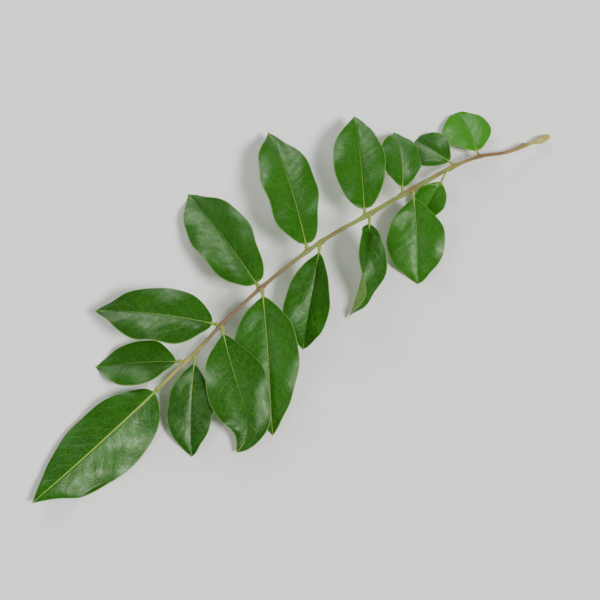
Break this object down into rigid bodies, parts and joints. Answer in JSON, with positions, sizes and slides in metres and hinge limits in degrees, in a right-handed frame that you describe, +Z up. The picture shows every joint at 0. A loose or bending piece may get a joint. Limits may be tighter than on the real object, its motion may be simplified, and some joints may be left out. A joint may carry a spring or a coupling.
{
  "type": "curry leaf sprig",
  "caption": "Fresh curry leaf sprig lying flat: an arched thin stem with near-opposite pointed oval leaflets and a larger one at its tip.",
  "frame": {"origin": "on the surface the sprig lies on, under the middle of its bounding box", "axes": "+X along the stem towards its plucked base, -X towards the end leaflet, +Z up from the surface"},
  "size_m": [0.2273, 0.092, 0.0183],
  "materials": {
    "leaf": "waxy satin green leaf skin, paler and matt underneath",
    "stem": "yellow-green to tan green bark, satin"
  },
  "bodies": {
    "root": {"rachis": "stem", "leaflet_left_1": "leaf", "leaflet_left_2": "leaf", "leaflet_left_3": "leaf", "leaflet_left_4": "leaf", "leaflet_left_5": "leaf", "leaflet_left_6": "leaf", "leaflet_left_7": "leaf", "leaflet_right_1": "leaf", "leaflet_right_2": "leaf", "leaflet_right_3": "leaf", "leaflet_right_4": "leaf", "leaflet_right_5": "leaf", "leaflet_right_6": "leaf", "leaflet_right_7": "leaf", "leaflet_right_8": "leaf", "leaflet_terminal": "leaf"}
  },
  "joints": []
}
